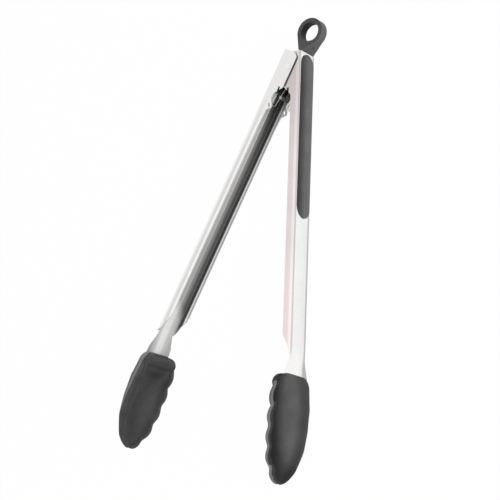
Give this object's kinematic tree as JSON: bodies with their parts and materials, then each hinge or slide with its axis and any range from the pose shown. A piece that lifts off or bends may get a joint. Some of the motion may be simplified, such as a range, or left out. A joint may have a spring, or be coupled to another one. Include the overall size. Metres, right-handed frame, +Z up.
{
  "type": "spring loaded kitchen tongs",
  "caption": "Locking kitchen tongs: two steel channel arms on a sprung hinge, soft grips, scalloped silicone scoop heads and a pull ring that locks them shut.",
  "frame": {"origin": "bottom centre of the whole part, lying open on its side", "axes": "+X from the heads to the hang ring, +Y across from the inner arm to the outer arm, +Z up along the hinge rivet"},
  "size_m": [0.3013, 0.1374, 0.034],
  "materials": {
    "arm_steel": "polished stainless steel with a soft satin sheen",
    "bright_steel": "plain turned steel",
    "spring_steel": "bright spring wire",
    "grip": "soft matte charcoal grip",
    "silicone": "satin charcoal silicone",
    "ring_plastic": "satin charcoal plastic"
  },
  "bodies": {
    "outer": {"outer_arm": "arm_steel", "outer_grip": "grip", "outer_head": "silicone", "pivot_rivet": "bright_steel", "rivet_collar": "bright_steel", "upper_bush": "bright_steel", "lower_bush": "bright_steel", "hinge_spring": "spring_steel"},
    "inner": {"inner_arm": "arm_steel", "inner_grip": "grip", "inner_head": "silicone", "upper_spring_leg": "spring_steel", "lower_spring_leg": "spring_steel"},
    "guide": {"lock_guide": "bright_steel"},
    "lock": {"lock_strip": "arm_steel", "hang_ring": "ring_plastic", "ring_pin": "ring_plastic"}
  },
  "joints": [
    {"name": "jaw_hinge", "type": "hinge", "parent": "outer", "child": "inner", "pos_m": [0.11442, 0, 0.017], "axis": [0, 0, -1], "range_deg": [0, 25.6], "stiffness_Nm_per_rad": 0.6, "springref_deg": -40.11},
    {"name": "guide_turn", "type": "hinge", "parent": "outer", "child": "guide", "pos_m": [0.11442, 0, 0.017], "axis": [0, 0, -1], "range_deg": [0, 12.8]},
    {"name": "lock_pull", "type": "slide", "parent": "guide", "child": "lock", "axis": [0.9968, -0.0802, 0], "range_m": [0, 0.0058]}
  ],
  "couplings": [
    {"joint": "guide_turn", "follows": "jaw_hinge", "ratio": 0.5}
  ]
}
